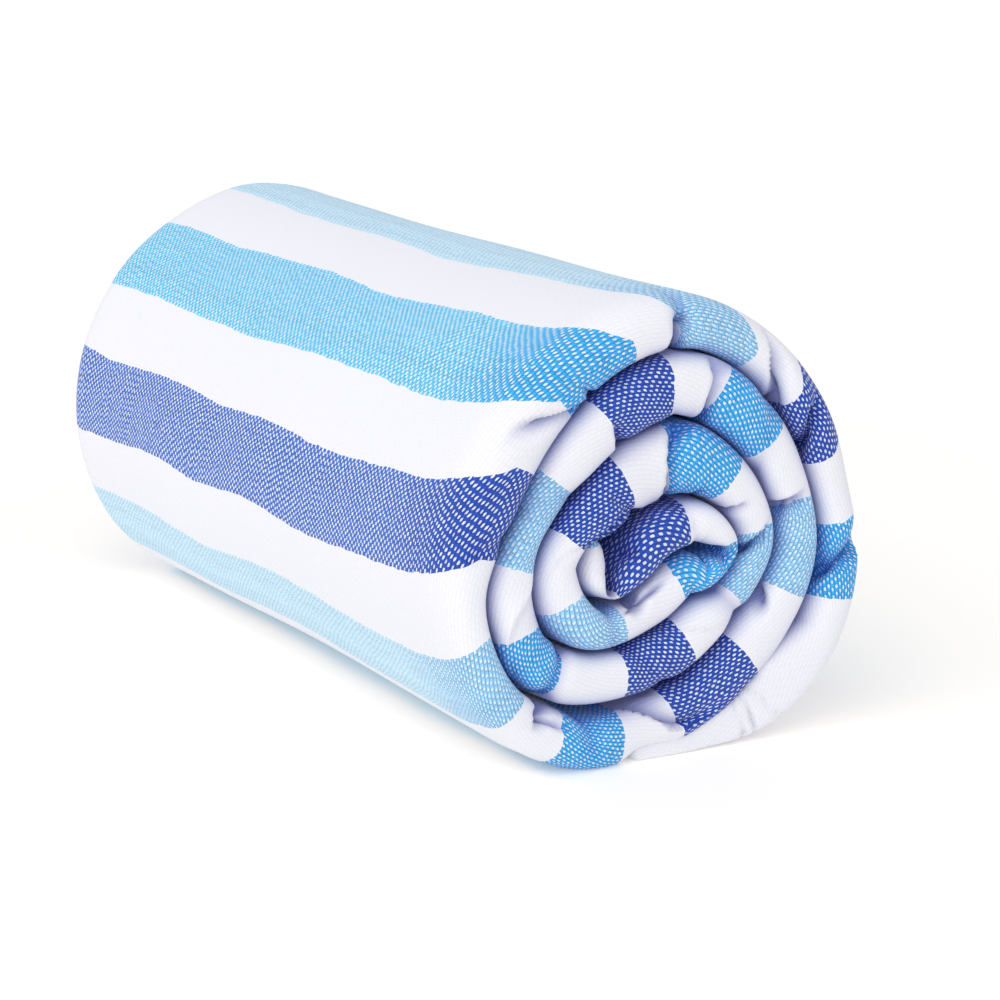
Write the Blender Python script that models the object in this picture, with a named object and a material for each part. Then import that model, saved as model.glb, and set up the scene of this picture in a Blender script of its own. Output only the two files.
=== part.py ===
"""A striped beach blanket, folded in four lengthwise and rolled up, lying on its side.

The cloth is folded into a flat strip of four layers, whose one long edge is a soft double fold.
The strip is then rolled up from its inner end, so each end of the roll shows the strip's edge
as a spiral of soft puffs with a groove between the turns. The whole roll is one solid.

Metres, +Z up. The roll lies along Y, its folded end faces -Y, and the origin is on the
floor under the roll's middle. Tables are in millimetres, measured from the roll's centre.
"""

import math
from collections import namedtuple

import bmesh
import bpy
import numpy as np

# Driving sizes, in millimetres
ROLL_LENGTH = 450          # a quarter of the cloth's 1.8 m width
AXIS_HEIGHT = 102          # the roll's centre above the floor, so its underside is pressed flat
TURN_GAP = 1.0             # air left between two turns of the strip
STATION_STEP = 7.2         # distance between two sections of the strip
NEIGHBOUR_REACH = 90       # a turn further away than this is no neighbour
OWN_STRETCH = 26           # this much of the strip on each side of a section is the section's own
BEND_SHARE = 0.85          # a section reaches this share of the way to the centre of its bend
BEND_FROM = 4              # the bend is judged from points at least this far away
EDGE_ROUND = 24            # how far the outer turn's edge is rounded along the roll
PUFF_ROUND = 13            # how far an inner turn's edge is rounded along the roll
FAR_ROUND = 15             # the same at the far end, which lies flatter
PINCH_WIDTH = 0.22         # half width of a pinched crease, in bands of the cloth
WAIST = 1.5                # how much slimmer the roll is at its middle than near its ends
NOSE_DROP = 6              # how far the strip's two ends draw back from the folded end
NOSE_ANGLES = (35, 62, 80)  # the sections that round off an end of the strip, in degrees
NEAR_POINTS = 9            # points of a section around its folded end
FAR_POINTS = 7             # points of a section around its far end
SIDE_STATIONS = (-1 / 6, 1 / 6)  # where each long side has points, as shares of the length
OUTER_TURN_ENDS = 14.4     # the band where the outer turn slips under the loose end
FAR_DRAWN_IN = 2           # how much less the puffs stand out at the far end
LINE_STEPS = 40            # points of the smooth middle line between two rows
TINY = 0.001               # too short to be a distance
MM = 0.001                 # a millimetre in metres

# The strip's middle line, seen from the folded end: X to the right, Z up, one row for each band
# of the cloth's stripes, and more in the tight folds. "band" counts bands from the loose end
# inwards. "half" is the strip's half thickness: turns that press on each other share the room
# between them in this proportion. "out" is how far the puff stands out of the end.
Row = namedtuple("Row", "band x z half out")
STRIP = [
    # outer turn: from the loose end at the bottom, up the right side and over to the left
    Row(-2.8, -10, -101, 2.8, -7), Row(-2.3, 10, -99.5, 4.5, -6), Row(-1.8, 29, -96, 7.5, -5),
    Row(-1.2, 53, -90, 10.5, -4), Row(-0.6, 75, -74, 14, -3), Row(0, 93, -52, 15, -2),
    Row(1, 100, -18, 14, 0), Row(2, 95, 18, 14, -2), Row(3, 83, 51, 14, 0), Row(4, 60, 80, 14, -1),
    Row(5, 28, 99, 14, 0), Row(6, -8, 103, 16, 2), Row(7, -42, 90, 17, 3), Row(8, -72, 64, 19, 5),
    Row(9, -93, 26, 19, 4), Row(10, -102, -13, 14, 0), Row(11, -90, -52, 14, 1), Row(12, -67, -78, 14, -2),
    Row(13, -38, -91, 14, 0), Row(14, -7, -90, 16, -3), Row(14.5, 11, -86, 19, -2),
    # second turn
    Row(15, 29, -71, 17, -1), Row(16, 58, -44, 17, -2), Row(17, 76, -6, 16, -1), Row(18, 64, 31, 16, 1),
    Row(19, 42, 60, 17, 2), Row(20, 16, 76, 17, 2), Row(21, -16, 71, 17, 2), Row(22, -48, 49, 16, 3),
    Row(23, -70, 15, 15, -2), Row(24, -80, -19, 15, 0), Row(25, -70, -46, 15, 0), Row(26, -39, -58, 15, -1),
    # third turn
    Row(27, 0, -54, 15, 0), Row(28, 23, -41, 16, 0), Row(29, 52, -11, 14, -2), Row(30, 46, 17, 16, 0),
    Row(31, 18, 39, 17, 1), Row(32, -9, 36, 18, -1), Row(33, -35, 21, 16, 2), Row(34, -55, -4, 16, -1),
    Row(35, -38, -33, 15, 2), Row(36, -6, -26, 14, 0),
    # the core: a flat fold doubled back on itself, and the cloth's inner end as a tongue
    Row(36.6, 12, -16, 12, 1), Row(37.2, 25, -15, 12, 2), Row(37.5, 34, -3, 12, 2), Row(37.8, 24, 9, 12, 2),
    Row(38.5, 9, 9, 12, 1), Row(39, -6, 3, 12, 2), Row(39.3, -15, -9, 11, 1), Row(39.5, -26, -21, 9, -2),
    Row(39.8, -35, -13, 10, -3), Row(40.3, -36, -2, 10, -5),
]

# Where the puffed edge is pinched into a crease: which band, and how deep, in millimetres.
Pinch = namedtuple("Pinch", "band depth")
PINCHES = [
    Pinch(1.1, 4), Pinch(3.1, 4), Pinch(4.1, 5), Pinch(5.5, 16), Pinch(7.9, 5), Pinch(11.9, 6),
    Pinch(13.8, 6), Pinch(16.3, 7), Pinch(17.5, 6), Pinch(19.6, 7), Pinch(21.8, 6), Pinch(24.9, 3),
    Pinch(28.1, 4), Pinch(29.5, 7), Pinch(32.1, 3), Pinch(33.5, 7), Pinch(35.6, 6), Pinch(37.5, 5),
    Pinch(38.7, 5), Pinch(39.6, 6),
]

COTTON = ("cotton_cloth", (0.62, 0.74, 0.90, 1.0), 0.9)  # name, colour, roughness


def clear_scene():
    """Removes what the file opened with."""
    for thing in list(bpy.data.objects):
        bpy.data.objects.remove(thing)


def cotton():
    """The cloth's plain material."""
    name, colour, roughness = COTTON
    material = bpy.data.materials.new(name)
    material.use_nodes = True
    shader = material.node_tree.nodes["Principled BSDF"]
    shader.inputs["Base Color"].default_value = colour
    shader.inputs["Roughness"].default_value = roughness
    shader.inputs["Metallic"].default_value = 0.0
    return material


def smooth_between(before, start, end, after, t):
    """Catmull-Rom value at t, from 0 to 1, between start and end."""
    return 0.5 * (
        2 * start
        + (end - before) * t
        + (2 * before - 5 * start + 4 * end - after) * t ** 2
        + (3 * start - before - 3 * end + after) * t ** 3
    )


def fine_line():
    """The strip's middle line with all columns read between its rows: band, x, z, half, out."""
    ends = [STRIP[0]] + STRIP + [STRIP[-1]]
    line = []
    for i in range(1, len(ends) - 2):
        for k in range(LINE_STEPS):
            t = k / LINE_STEPS
            line.append(Row(*(
                smooth_between(ends[i - 1][c], ends[i][c], ends[i + 1][c], ends[i + 2][c], t)
                for c in range(len(Row._fields))
            )))
    line.append(STRIP[-1])
    return line


def directions(line):
    """Unit vectors along the line, from its first row to its last."""
    places = np.array([(row.x, row.z) for row in line])
    along = np.gradient(places, axis=0)
    return along / np.hypot(*along.T)[:, None]


def nose(end, onward):
    """The sections that round off the strip's end, going onward from its last row."""
    found = []
    for degrees in NOSE_ANGLES:
        forward, sideways = math.sin(math.radians(degrees)), math.cos(math.radians(degrees))
        found.append(Row(
            end.band,
            end.x + onward[0] * end.half * forward,
            end.z + onward[1] * end.half * forward,
            end.half * sideways,
            end.out - NOSE_DROP * (1 - sideways),
        ))
    return found


def stations(line):
    """Rows at even steps along the line, with both of its ends rounded off, and their directions."""
    along = directions(line)
    picked, since = [0], 0.0
    for i in range(1, len(line)):
        since += math.hypot(line[i].x - line[i - 1].x, line[i].z - line[i - 1].z)
        if since >= STATION_STEP:
            picked.append(i)
            since = 0.0
    first, last = nose(line[0], -along[0])[::-1], nose(line[-1], along[-1])
    rows = first + [line[i] for i in picked] + last
    facing = [along[0]] * len(first) + [along[i] for i in picked] + [along[-1]] * len(last)
    return rows, np.array(facing)


def widths(line, across, turns, side):
    """The strip's thickness on one side of its middle line, at every section.

    It is the ball that touches the middle line here and nowhere else: what touches it on the far
    side is either another turn, which gets its own share of the room, or the strip's own bend.
    """
    here = np.array([(row.x, row.z) for row in line])
    there = np.array([(row.x, row.z) for row in turns])
    mine = np.array([row.half for row in line])[:, None]
    theirs = np.array([row.half for row in turns])[None, :]
    apart = there[None, :, :] - here[:, None, :]
    distance = np.hypot(apart[:, :, 0], apart[:, :, 1])
    ahead = (apart * (side * across)[:, None, :]).sum(axis=2)
    ball = distance ** 2 / (2 * np.maximum(ahead, TINY))
    travelled = np.concatenate([[0.0], np.cumsum(np.hypot(*np.diff(there, axis=0).T))])
    stretch = np.abs(travelled[None, :] - travelled[distance.argmin(axis=1)][:, None])
    bend = np.where(distance > BEND_FROM, BEND_SHARE * ball, NEIGHBOUR_REACH)
    reach = np.where(stretch < OWN_STRETCH, bend, 2 * ball * mine / (mine + theirs) - TURN_GAP / 2)
    reach = np.where(ahead > TINY, reach, NEIGHBOUR_REACH)
    found = np.minimum(mine[:, 0], reach.min(axis=1))
    padded = np.concatenate([found[:1], found, found[-1:]])
    return np.minimum(found, (padded[:-2] + found + padded[2:]) / 3)


def pinched(band):
    """How far the creases pull the puff in at this band."""
    return sum(pinch.depth * math.exp(-abs(band - pinch.band) / PINCH_WIDTH) for pinch in PINCHES)


def end_cap(count, outer, inner, outer_round, inner_round, tip):
    """A rounded end of a section, as (offset across the strip, distance along the roll) pairs.

    It runs from the outer side to the inner one; the tip is its furthest point from the middle.
    """
    points = []
    for k in range(count):
        angle = math.pi / 2 - math.pi * k / (count - 1)
        width = outer if angle > 0 else inner
        depth = outer_round if angle > 0 else inner_round
        points.append((width * math.sin(angle), tip - depth * (1 - math.cos(angle))))
    return points


def section(row, outer, inner, outermost):
    """One closed section of the strip, as (offset across the strip, Y) pairs."""
    half = ROLL_LENGTH / 2
    tip = half + row.out - pinched(row.band)
    outer_round = EDGE_ROUND if outermost else PUFF_ROUND
    near = [(s, -y) for s, y in end_cap(NEAR_POINTS, outer, inner, outer_round, PUFF_ROUND, tip)]
    far = end_cap(FAR_POINTS, outer, inner, FAR_ROUND, FAR_ROUND, half + row.out / 2 - FAR_DRAWN_IN)
    waist = WAIST if outermost else 0.0
    inner_side = [(-inner, share * ROLL_LENGTH) for share in SIDE_STATIONS]
    outer_side = [(outer - waist, share * ROLL_LENGTH) for share in reversed(SIDE_STATIONS)]
    return near + inner_side + far[::-1] + outer_side


def rolled_blanket():
    """The strip's sections joined into one solid, pressed flat where it lies on the floor."""
    turns = fine_line()
    line, along = stations(turns)
    across = np.stack([along[:, 1], -along[:, 0]], axis=1)
    outer, inner = widths(line, across, turns, 1), widths(line, across, turns, -1)
    mesh = bmesh.new()
    rings = []
    for row, normal, wide, narrow in zip(line, across, outer, inner):
        outermost = row.band < OUTER_TURN_ENDS
        ring = []
        for offset, y in section(row, wide, narrow, outermost):
            x = row.x + normal[0] * offset
            z = AXIS_HEIGHT + row.z + normal[1] * offset
            ring.append(mesh.verts.new((MM * x, MM * y, MM * max(z, 0.0))))
        rings.append(ring)
    count = len(rings[0])
    for a, b in zip(rings, rings[1:]):
        for k in range(count):
            n = (k + 1) % count
            mesh.faces.new((a[k], a[n], b[n], b[k]))
    mesh.faces.new(rings[0][::-1])
    mesh.faces.new(rings[-1])
    bmesh.ops.recalc_face_normals(mesh, faces=mesh.faces)
    data = bpy.data.meshes.new("rolled_blanket")
    mesh.to_mesh(data)
    mesh.free()
    blanket = bpy.data.objects.new("rolled_blanket", data)
    bpy.context.scene.collection.objects.link(blanket)
    data.materials.append(cotton())
    data.shade_smooth()
    return blanket


def main():
    """Builds the blanket."""
    clear_scene()
    rolled_blanket()


main()
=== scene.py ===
# %% Load the frame
import math
from collections import namedtuple

import bpy
import numpy as np
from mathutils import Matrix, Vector


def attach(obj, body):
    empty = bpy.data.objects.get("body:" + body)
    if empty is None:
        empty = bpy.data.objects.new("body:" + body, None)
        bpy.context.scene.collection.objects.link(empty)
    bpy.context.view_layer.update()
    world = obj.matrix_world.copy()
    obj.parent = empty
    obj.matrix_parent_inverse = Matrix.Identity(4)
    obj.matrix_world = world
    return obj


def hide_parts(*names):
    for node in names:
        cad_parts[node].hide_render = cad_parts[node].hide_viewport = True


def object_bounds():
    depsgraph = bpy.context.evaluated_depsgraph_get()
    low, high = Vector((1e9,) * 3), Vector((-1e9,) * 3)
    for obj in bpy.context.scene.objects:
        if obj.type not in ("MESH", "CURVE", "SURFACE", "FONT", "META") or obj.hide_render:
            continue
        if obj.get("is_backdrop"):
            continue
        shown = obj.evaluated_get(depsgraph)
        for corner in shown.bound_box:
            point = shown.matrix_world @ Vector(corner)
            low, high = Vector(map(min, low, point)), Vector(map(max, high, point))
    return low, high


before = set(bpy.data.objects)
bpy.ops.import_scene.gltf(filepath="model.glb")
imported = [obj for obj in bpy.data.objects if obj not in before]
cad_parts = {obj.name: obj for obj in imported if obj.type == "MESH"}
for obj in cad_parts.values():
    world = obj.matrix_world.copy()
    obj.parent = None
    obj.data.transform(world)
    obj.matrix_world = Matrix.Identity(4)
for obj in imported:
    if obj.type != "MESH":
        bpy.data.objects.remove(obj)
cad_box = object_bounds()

print("nodes", sorted(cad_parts))
print("the roll's box", cad_box)

# %% [markdown]
# ## The camera
# The blanket lies on its side with the folded end turned towards the viewer. A long lens from a
# little above keeps the two ends of the roll nearly the same size.

# %% The camera
AXIS_HEIGHT = 0.102  # the roll's centre above the floor, as in the part
VIEW_AZIMUTH, VIEW_ELEVATION = 29, 13.2  # degrees to the left of the roll's end, and above it
VIEW_DISTANCE = 1.65  # metres
AIM = Vector((0.020, -0.028, 0.083))  # the point in the middle of the view
LENS, SENSOR = 115, 36  # millimetres

camera = bpy.data.objects.new("camera", bpy.data.cameras.new("camera"))
bpy.context.scene.collection.objects.link(camera)
camera.data.lens = LENS
camera.data.sensor_width = SENSOR
azimuth, elevation = math.radians(VIEW_AZIMUTH), math.radians(VIEW_ELEVATION)
forward = Vector((
    math.sin(azimuth) * math.cos(elevation), math.cos(azimuth) * math.cos(elevation), -math.sin(elevation)
))
camera.location = AIM - VIEW_DISTANCE * forward
camera.rotation_euler = forward.to_track_quat("-Z", "Y").to_euler()
bpy.context.scene.camera = camera
print("camera at", [round(c, 3) for c in camera.location])

# %% [markdown]
# ## The strip's middle line
# The real cloth is folded in four along its length, which makes a long flat strip of four layers,
# and the strip is rolled up. Its middle line is a spiral that has been squeezed and has sagged, so
# a formula would be too even. Listed rows give its place, in millimetres from the roll's centre,
# and a smooth curve runs through them.
# "band" counts the cloth in stripes: a blue and a white one together are two bands. There is about
# one row for each, and there are more at the loose end and in the tight folds of the core.
# "half" is the strip's half thickness, and "out" is how far its edge stands out of the roll's end.

# %% The strip's middle line
Row = namedtuple("Row", "band x z half out")
STRIP = [
    # outer turn: from the loose end at the bottom, up the right side and over to the left
    Row(-2.8, -10, -101, 2.8, -7), Row(-2.3, 10, -99.5, 4.5, -6), Row(-1.8, 29, -96, 7.5, -5),
    Row(-1.2, 53, -90, 10.5, -4), Row(-0.6, 75, -74, 14, -3), Row(0, 93, -52, 15, -2),
    Row(1, 100, -18, 14, 0), Row(2, 95, 18, 14, -2), Row(3, 83, 51, 14, 0), Row(4, 60, 80, 14, -1),
    Row(5, 28, 99, 14, 0), Row(6, -8, 103, 16, 2), Row(7, -42, 90, 17, 3), Row(8, -72, 64, 19, 5),
    Row(9, -93, 26, 19, 4), Row(10, -102, -13, 14, 0), Row(11, -90, -52, 14, 1), Row(12, -67, -78, 14, -2),
    Row(13, -38, -91, 14, 0), Row(14, -7, -90, 16, -3), Row(14.5, 11, -86, 19, -2),
    # second turn
    Row(15, 29, -71, 17, -1), Row(16, 58, -44, 17, -2), Row(17, 76, -6, 16, -1), Row(18, 64, 31, 16, 1),
    Row(19, 42, 60, 17, 2), Row(20, 16, 76, 17, 2), Row(21, -16, 71, 17, 2), Row(22, -48, 49, 16, 3),
    Row(23, -70, 15, 15, -2), Row(24, -80, -19, 15, 0), Row(25, -70, -46, 15, 0), Row(26, -39, -58, 15, -1),
    # third turn
    Row(27, 0, -54, 15, 0), Row(28, 23, -41, 16, 0), Row(29, 52, -11, 14, -2), Row(30, 46, 17, 16, 0),
    Row(31, 18, 39, 17, 1), Row(32, -9, 36, 18, -1), Row(33, -35, 21, 16, 2), Row(34, -55, -4, 16, -1),
    Row(35, -38, -33, 15, 2), Row(36, -6, -26, 14, 0),
    # the core: a fold that doubles back, and the cloth's inner end
    Row(36.6, 12, -16, 12, 1), Row(37.2, 25, -15, 12, 2), Row(37.5, 34, -3, 12, 2), Row(37.8, 24, 9, 12, 2),
    Row(38.5, 9, 9, 12, 1), Row(39, -6, 3, 12, 2), Row(39.3, -15, -9, 11, 1), Row(39.5, -26, -21, 9, -2),
    Row(39.8, -35, -13, 10, -3), Row(40.3, -36, -2, 10, -5),
]


def through_rows(rows, steps=40):
    """All columns of the table, read at many places between its rows, as one array."""
    table = np.array([rows[0], *rows, rows[-1]], dtype=float)
    before, start, end, after = (table[i:len(table) - 3 + i, None, :] for i in range(4))
    t = (np.arange(steps) / steps)[None, :, None]
    curve = 0.5 * (2 * start + (end - before) * t + (2 * before - 5 * start + 4 * end - after) * t ** 2
                   + (3 * start - before - 3 * end + after) * t ** 3)
    return np.concatenate([curve.reshape(-1, table.shape[1]), table[-1:]])


line = through_rows(STRIP)
travelled = np.concatenate([[0], np.cumsum(np.hypot(np.diff(line[:, 1]), np.diff(line[:, 2])))])
print("middle line %.0f mm long" % travelled[-1])

# %% [markdown]
# ## Sections across the strip
# The sheet is made of sections across the strip, 2 mm apart along its middle line, which is about
# as far apart as the yarns are. The two ends are rounded off by a few sections that get thinner.

# %% Sections across the strip
SECTION_STEP = 2.0  # mm between sections
NOSE_ANGLES = (20, 38, 54, 68, 79, 87)  # the sections that round off an end, in degrees
NOSE_DROP = 6  # mm that an end draws back from the roll's end face
BAND = 41.5  # mm of flat cloth, half of what a blue and a white stripe measure together


def read_at(distances):
    """The line's columns at these distances along it."""
    return np.stack([np.interp(distances, travelled, line[:, c]) for c in range(line.shape[1])], axis=1)


def nose(end, onward):
    """Sections beyond the strip's last row, which round it off to nothing."""
    rows = []
    for angle in np.radians(NOSE_ANGLES):
        row = end.copy()
        row[1:3] += onward * end[3] * math.sin(angle)
        row[3] *= math.cos(angle)
        row[4] -= NOSE_DROP * (1 - math.cos(angle))
        rows.append(row)
    return np.array(rows)


distances = np.linspace(0, travelled[-1], int(travelled[-1] / SECTION_STEP))
middle = read_at(distances)
along = np.gradient(middle[:, 1:3], axis=0)
along /= np.hypot(*along.T)[:, None]
first, last = nose(middle[0], -along[0])[::-1], nose(middle[-1], along[-1])
sections = np.concatenate([first, middle, last])
along = np.concatenate([[along[0]] * len(first), along, [along[-1]] * len(last)])
across = np.stack([along[:, 1], -along[:, 0]], axis=1)  # towards the outside of the roll
step = np.hypot(*np.diff(sections[:, 1:3], axis=0).T)
run = np.concatenate([[0], np.cumsum(step)])
band = sections[:, 0].copy()
band[:len(first)] = sections[len(first), 0] - (run[len(first)] - run[:len(first)]) / BAND
band[-len(last):] = sections[-len(last) - 1, 0] + (run[-len(last):] - run[-len(last) - 1]) / BAND
print(len(sections), "sections, bands %.2f to %.2f" % (band[0], band[-1]))

# %% [markdown]
# ## How thick the strip lies
# Turns press on each other and share the room between them. For each section, the largest ball
# that touches the middle line there and nowhere else tells how much room there is on that side.

# %% How thick the strip lies
TURN_GAP = 0.1  # mm of air between two turns
OWN_STRETCH = 26  # mm of the strip on each side that belong to a section's own bend
BEND_SHARE = 0.85  # a section reaches this share of the way to the centre of its bend
BEND_FROM = 4  # mm, the bend is judged from points at least this far away
NO_LIMIT = 90  # mm, more than any half thickness
EVENED = 7  # sections over which the thickness is evened out
TINY = 0.001  # mm, too short to be a distance


def thickness(side):
    """The strip's thickness in mm on one side of its middle line, section by section."""
    apart = line[None, :, 1:3] - sections[:, None, 1:3]
    distance = np.hypot(apart[:, :, 0], apart[:, :, 1])
    ahead = (apart * (side * across)[:, None, :]).sum(axis=2)
    ball = distance ** 2 / (2 * np.maximum(ahead, TINY))
    stretch_and_light = np.abs(travelled[None, :] - travelled[distance.argmin(axis=1)][:, None])
    mine, theirs = sections[:, 3][:, None], line[:, 3][None, :]
    bend = np.where(distance > BEND_FROM, BEND_SHARE * ball, NO_LIMIT)
    reach = np.where(stretch_and_light < OWN_STRETCH, bend, 2 * ball * mine / (mine + theirs) - TURN_GAP / 2)
    reach = np.where(ahead > TINY, reach, NO_LIMIT)
    found = np.minimum(sections[:, 3], reach.min(axis=1))
    padded = np.pad(found, EVENED // 2, mode="edge")
    return np.minimum(found, np.convolve(padded, np.ones(EVENED) / EVENED, mode="valid"))


outer, inner = thickness(1), thickness(-1)
thick = (outer + inner)[len(first):-len(last)]
print("thickness %.1f to %.1f mm" % (thick.min(), thick.max()))

# %% [markdown]
# ## Creases of the folded edge
# Rolled tightly, the folded edge has too much cloth on the inside of each turn, and it puckers.
# Each row is one crease, with its depth and widths as judged. "band" is where it crosses the
# edge's tip, mostly worked out from the view, to the nearest 2 mm of cloth, and "slant" is how far
# on it is at the outer flank. "depth" is in millimetres, and a ridge has a negative one. A crease
# falls steeply on one side and runs out softly on the other, so that one puff seems to lap over
# the next: "before" and "after" are the two widths, in bands. "low" and "high" say which part of
# the edge it crosses: 90 is the outer flank, 0 the tip and -90 the inner flank.

# %% Creases of the folded edge
Crease = namedtuple("Crease", "band slant depth before after low high")
CREASES = [
    # the loose end: its edge and two rows of stitching
    Crease(-1.4, 0.05, 2, 0.05, 0.02, -70, 60), Crease(-1.25, 0.05, 2, 0.04, 0.04, -95, 95),
    Crease(-1, 0.2, 0.9, 0.04, 0.04, -95, 95),
    # outer turn
    Crease(1, 0.3, 10, 0.10, 0.45, -90, 50), Crease(3.1, 0.4, 9.5, 0.20, 0.22, -90, 15),
    Crease(4.1, 0.45, 10, 0.42, 0.05, -90, 35), Crease(5.55, -0.05, 19, 0.13, 0.24, -90, 20),
    Crease(5.6, -0.1, 4, 0.15, 0.30, 0, 95), Crease(7.25, 0.1, 3.5, 0.12, 0.10, -90, -25),
    Crease(7.85, 0.8, 7, 0.05, 0.35, -60, 15), Crease(9.4, 0.3, 2, 0.30, 0.30, -90, 20),
    Crease(11.9, 0.1, 10, 0.12, 0.30, -90, -15), Crease(13, 0.3, 2.5, 0.35, 0.35, -90, 10),
    Crease(14.4, 0.75, 8.5, 0.05, 0.42, -90, 15),
    # second turn
    Crease(16.1, -0.25, 7, 0.28, 0.10, -90, -35), Crease(17.6, 0, 10, 0.34, 0.05, -90, 15),
    Crease(18.5, 0.4, 1.5, 0.4, 0.4, -90, 90), Crease(19.75, 0.1, 11, 0.36, 0.08, -90, 60),
    Crease(20.6, 0.3, 1.5, 0.3, 0.3, -90, 20), Crease(21.45, -0.1, 7, 0.30, 0.08, -90, -15),
    Crease(22.6, 0.3, 1.5, 0.4, 0.4, -90, 90), Crease(24.05, 0.95, -2.5, 0.5, 0.15, -40, 80),
    Crease(25.45, 0, 4, 0.25, 0.25, -90, 90),
    # third turn
    Crease(26.75, 0.3, 2, 0.3, 0.3, -90, 90), Crease(28, 0.85, 0.8, 0.10, 0.06, -60, 25),
    Crease(28.4, 0, 3, 0.3, 0.2, -90, 90), Crease(29.4, 0.35, 10, 0.32, 0.08, -90, 20),
    Crease(30.05, -0.15, 3.5, 0.25, 0.05, -90, -15), Crease(30.75, 0, 3, 0.10, 0.10, -90, -50),
    Crease(31.6, -0.25, 8.5, 0.34, 0.08, -90, 75), Crease(32.7, 0.3, 3, 0.25, 0.20, -90, 10),
    Crease(33.65, 0.95, 0.9, 0.08, 0.08, -25, 35), Crease(35.3, 0, 2.5, 0.16, 0.14, -90, 45),
    Crease(35.75, 0, 11.5, 0.16, 0.18, -90, -15),
    # the core
    Crease(37.4, 0, 7, 0.12, 0.20, -90, 20), Crease(38.3, 0.2, 1.5, 0.25, 0.25, -90, 90),
    Crease(39.15, 0.1, 4, 0.18, 0.18, 35, 95), Crease(39.55, 0, 4, 0.25, 0.25, -90, 90),
]
RUNS_PAST = 20  # degrees by which a crease runs past its two ends
FADES_OVER = 30  # degrees over which it fades out there
SHARPNESS, SHADE_SHARPNESS = 1.6, 2.2  # 1 gives a crease straight sides, and more a sharper bottom
FULL_SHADE = 7  # mm, a crease at least this deep is shaded fully


def crease_depth(crease, angle):
    """How deep one crease is at each section, and how much it shades the cloth, at this angle."""
    away = band - crease.band - crease.slant * angle / 90
    close = np.clip(1 - np.where(away < 0, -away / crease.before, away / crease.after), 0, 1)
    inside = np.clip((angle - crease.low + RUNS_PAST) / FADES_OVER, 0, 1)
    inside *= np.clip((crease.high + RUNS_PAST - angle) / FADES_OVER, 0, 1)
    shade = min(1, max(0, crease.depth) / FULL_SHADE) * inside * close ** SHADE_SHARPNESS
    return crease.depth * inside * close ** SHARPNESS, shade


print(len(CREASES), "creases, the deepest %g mm" % max(crease.depth for crease in CREASES))

# %% [markdown]
# ## Furrows along the strip
# In three places the edge is also folded in along the strip, as where a pleat has doubled under.
# Such a furrow is a crease the other way round: it lies at one angle of the folded edge, and fades
# out at both of its ends.

# %% Furrows along the strip
Furrow = namedtuple("Furrow", "angle width depth low high")  # degrees, mm, and the bands of its ends
FURROWS = [Furrow(-40, 16, 6, 32.6, 33.5), Furrow(-30, 18, 5, 11.7, 12.5), Furrow(-40, 16, 5, 35.5, 36.3)]
FURROW_FADES = 0.2  # bands over which a furrow fades out
FURROW_SHARPNESS, FURROW_SHADE = 1.3, 0.8  # the shape of its bottom, and how much it is shaded there


def furrow_depth(furrow, angle):
    """How deep one furrow is at each section, and how much it shades the cloth, at this angle."""
    across_it = max(0, 1 - abs(angle - furrow.angle) / furrow.width)
    along_it = np.clip((band - furrow.low) / FURROW_FADES, 0, 1)
    along_it *= np.clip((furrow.high - band) / FURROW_FADES, 0, 1)
    return furrow.depth * across_it ** FURROW_SHARPNESS * along_it, FURROW_SHADE * across_it ** 2 * along_it


print(len(FURROWS), "furrows, the deepest %g mm" % max(furrow.depth for furrow in FURROWS))

# %% [markdown]
# ## Soft unevenness
# Cloth that has been folded and rolled by hand is nowhere quite even. A few smooth waves of
# different lengths, with their phases drawn once from a fixed seed, push the surface in and out
# by about a millimetre.

# %% Soft unevenness
SEED, WAVE_COUNT = 7, 9
TO_BAND, TO_METRE = (0.4, 1.6), (1.5, 6.0)  # radians to a band, and waves to a metre along the roll
PHASE = (0, 6.28)  # radians
ONE_WAVE = 6  # radians, which is nearly a whole turn

draw = np.random.default_rng(SEED)
WAVES = [
    (draw.uniform(*TO_BAND), draw.uniform(*TO_METRE), draw.uniform(*PHASE), draw.uniform(*PHASE))
    for _ in range(WAVE_COUNT)
]


def uneven(y_place):
    """Smooth ups and downs of about 1 mm, for one lengthwise line of points."""
    waves = [
        np.sin(to_band * band + a) * np.sin(ONE_WAVE * to_metre * y_place / 1000 + b)
        for to_band, to_metre, a, b in WAVES
    ]
    return sum(waves) / math.sqrt(WAVE_COUNT)


print("uneven by %.1f to %.1f mm at the middle" % (uneven(0).min(), uneven(0).max()))

# %% [markdown]
# ## The sheet, from its selvedge to the folded edge
# The whole cloth is one thin sheet. Going round a section, it starts at one selvedge at the far
# end, runs along the roll, turns round the near end as the big outer fold, runs back, folds again
# at the far end, and its two inner layers lie between, out of sight but for the far end.
# A column is one lengthwise line of points on it, and the first layer comes first.

# %% The sheet's first layer
LENGTH = 450.0  # mm, a quarter of the cloth's width
FAR_DRAWN_IN = 2  # mm by which the far end is drawn in
FAR_ROUND = 15  # mm along the roll by which the far end's corner is rounded
FAR_FULLNESS = 1.2  # 1 rounds that corner as an ellipse, and more makes it fuller
FAR_ANGLES = (2, 24, 46, 68, 90)  # the columns of that corner, in degrees
OUTER_SELVEDGE = 0.59  # where the outer selvedge lies, as a share of the strip's outer half
FAR_SHARE, NEAR_SHARE = 0.44, -0.42  # the ends of the straight long side, as shares of the length
LONG_SIDE_COLUMNS = 24
WAIST = 1.5  # mm that the roll is slimmer at its middle
SIDE_UNEVEN = 0.9  # how strongly the unevenness shows on the long side
OUTER_TURN_ENDS = 14.4  # the band where the outer turn slips under the loose end
SLIPS_UNDER = 1 / 3  # bands over which it does so

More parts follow.
